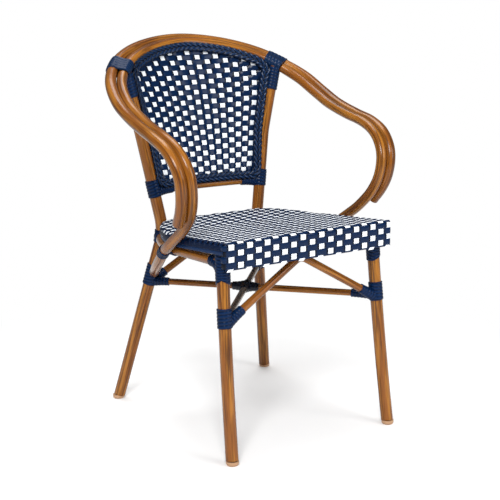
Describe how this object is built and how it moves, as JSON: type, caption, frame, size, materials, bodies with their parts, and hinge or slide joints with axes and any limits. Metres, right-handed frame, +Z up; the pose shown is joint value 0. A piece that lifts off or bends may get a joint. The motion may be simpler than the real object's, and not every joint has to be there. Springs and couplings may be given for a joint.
{
  "type": "rattan bistro armchair",
  "caption": "Stacking cafe armchair with bent cane-look aluminium tubes, a woven navy and white seat and back, plaited trims and strand-bound joints.",
  "frame": {"origin": "on the floor, at the centre of the bounding box of the chair", "axes": "+X towards the left hand of the sitter, +Y towards the back of the chair, +Z up"},
  "size_m": [0.569, 0.5488, 0.818],
  "materials": {
    "cane_tube": "gloss",
    "strand_navy": "satin",
    "weave_navy_white": "satin",
    "bare_tube": "satin",
    "glide_tan": "satin"
  },
  "bodies": {
    "root": {"outer_hoop": "cane_tube", "top_rail": "cane_tube", "arm_tube_left": "cane_tube", "arm_tube_right": "cane_tube", "rear_leg_left": "cane_tube", "rear_leg_right": "cane_tube", "front_leg_left": "cane_tube", "front_leg_right": "cane_tube", "side_rail_left": "cane_tube", "side_rail_right": "cane_tube", "front_seat_rail": "cane_tube", "rear_seat_rail": "cane_tube", "front_brace": "cane_tube", "rear_brace": "cane_tube", "stretcher_long": "cane_tube", "stretcher_short_front": "cane_tube", "stretcher_short_rear": "cane_tube", "glide_front_left": "glide_tan", "glide_front_right": "glide_tan", "glide_rear_left": "glide_tan", "glide_rear_right": "glide_tan", "hoop_end_plug_left": "cane_tube", "hoop_end_plug_right": "cane_tube", "arm_tube_upper_plug_left": "cane_tube", "arm_tube_upper_plug_right": "cane_tube", "arm_tube_lower_plug_left": "cane_tube", "arm_tube_lower_plug_right": "cane_tube", "seat_front_tube": "bare_tube", "seat_hoop": "bare_tube", "seat_weave": "weave_navy_white", "seat_edge_band": "strand_navy", "seat_edge_lip": "strand_navy", "back_bottom_rail": "cane_tube", "back_panel_rod": "bare_tube", "back_weave": "weave_navy_white", "back_plait_front": "strand_navy", "back_plait_rear": "strand_navy", "shoulder_binding_left": "strand_navy", "shoulder_binding_right": "strand_navy", "post_top_binding_left": "strand_navy", "post_top_binding_right": "strand_navy", "back_rail_binding_left": "strand_navy", "back_rail_binding_right": "strand_navy", "seat_corner_binding_left": "strand_navy", "seat_corner_binding_right": "strand_navy", "rear_leg_binding_left": "strand_navy", "rear_leg_binding_right": "strand_navy", "front_leg_binding_left": "strand_navy", "front_leg_binding_right": "strand_navy", "front_top_binding_left": "strand_navy", "front_top_binding_right": "strand_navy", "arm_rail_binding_left": "strand_navy", "arm_rail_binding_right": "strand_navy", "crossing_binding": "strand_navy"}
  },
  "joints": []
}
